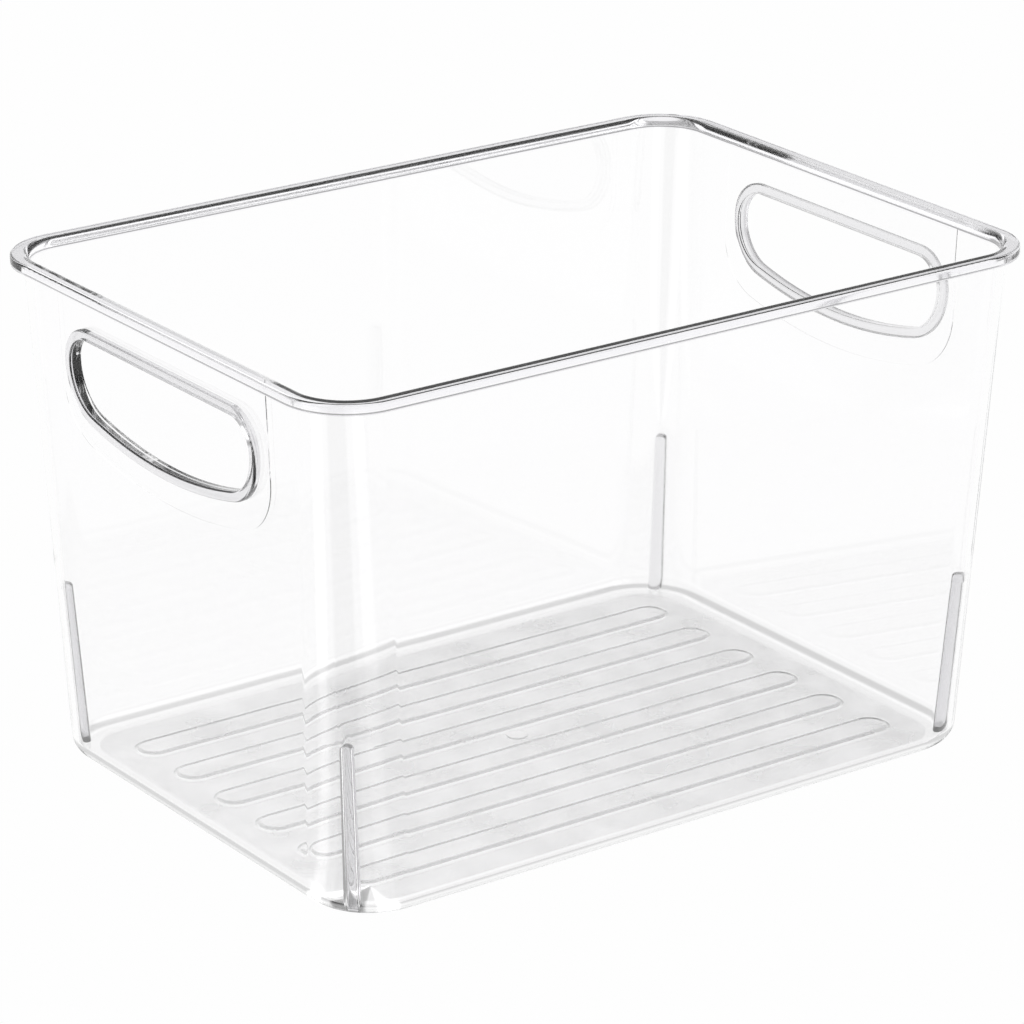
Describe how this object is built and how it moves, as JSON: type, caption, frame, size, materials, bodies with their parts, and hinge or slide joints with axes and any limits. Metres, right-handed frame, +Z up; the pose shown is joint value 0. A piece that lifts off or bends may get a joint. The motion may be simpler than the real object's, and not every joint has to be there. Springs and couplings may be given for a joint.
{
  "type": "fridge bin",
  "caption": "Clear open-topped fridge bin with leaning walls, a flared rim, collared slot handles in the end walls, corner nesting ribs and long pads on the floor.",
  "frame": {"origin": "centre of the underside, where the bin rests", "axes": "+X along the long walls, +Y across the bin, +Z up through the open top"},
  "size_m": [0.254, 0.1794, 0.1574],
  "materials": {
    "clear_plastic": "clear, colourless, polished injection moulding"
  },
  "bodies": {
    "root": {"floor_plate": "clear_plastic", "heel_curve": "clear_plastic", "front_wall": "clear_plastic", "rear_wall": "clear_plastic", "left_end_wall": "clear_plastic", "right_end_wall": "clear_plastic", "front_left_corner": "clear_plastic", "front_right_corner": "clear_plastic", "rear_left_corner": "clear_plastic", "rear_right_corner": "clear_plastic", "rim_lip": "clear_plastic", "left_handle_collar": "clear_plastic", "right_handle_collar": "clear_plastic", "left_handle_surround": "clear_plastic", "right_handle_surround": "clear_plastic", "front_left_rib": "clear_plastic", "front_right_rib": "clear_plastic", "rear_left_rib": "clear_plastic", "rear_right_rib": "clear_plastic", "floor_pads": "clear_plastic", "gate_mark": "clear_plastic"}
  },
  "joints": []
}
